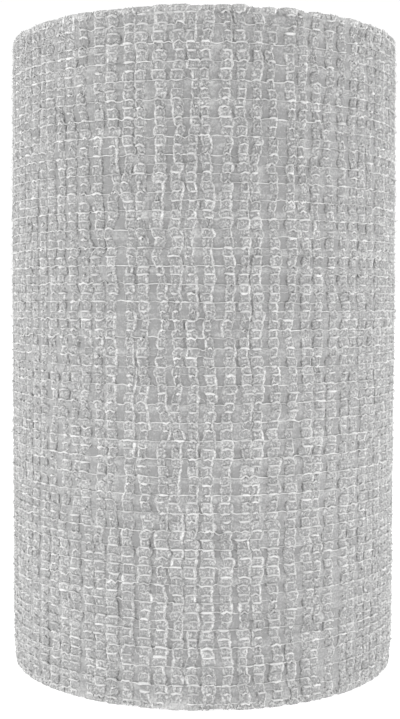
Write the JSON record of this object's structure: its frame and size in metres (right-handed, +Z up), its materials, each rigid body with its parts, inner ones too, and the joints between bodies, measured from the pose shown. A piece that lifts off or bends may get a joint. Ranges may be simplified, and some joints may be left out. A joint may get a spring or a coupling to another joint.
{
  "type": "cohesive bandage roll",
  "caption": "Coreless roll of open-weave cohesive bandage: one crinkled gauze strip wound on itself, standing on one end.",
  "frame": {"origin": "middle of the base on the winding axis", "axes": "+Z up along the winding axis, -Y towards the viewer of the picture, the cut end of the strip at the back on +Y"},
  "size_m": [0.0626, 0.0631, 0.1],
  "materials": {
    "bandage_gauze": "matt, crinkled open weave of cotton and elastic yarns with a thin bonding coat"
  },
  "bodies": {
    "root": {"bandage_roll": "bandage_gauze"}
  },
  "joints": []
}
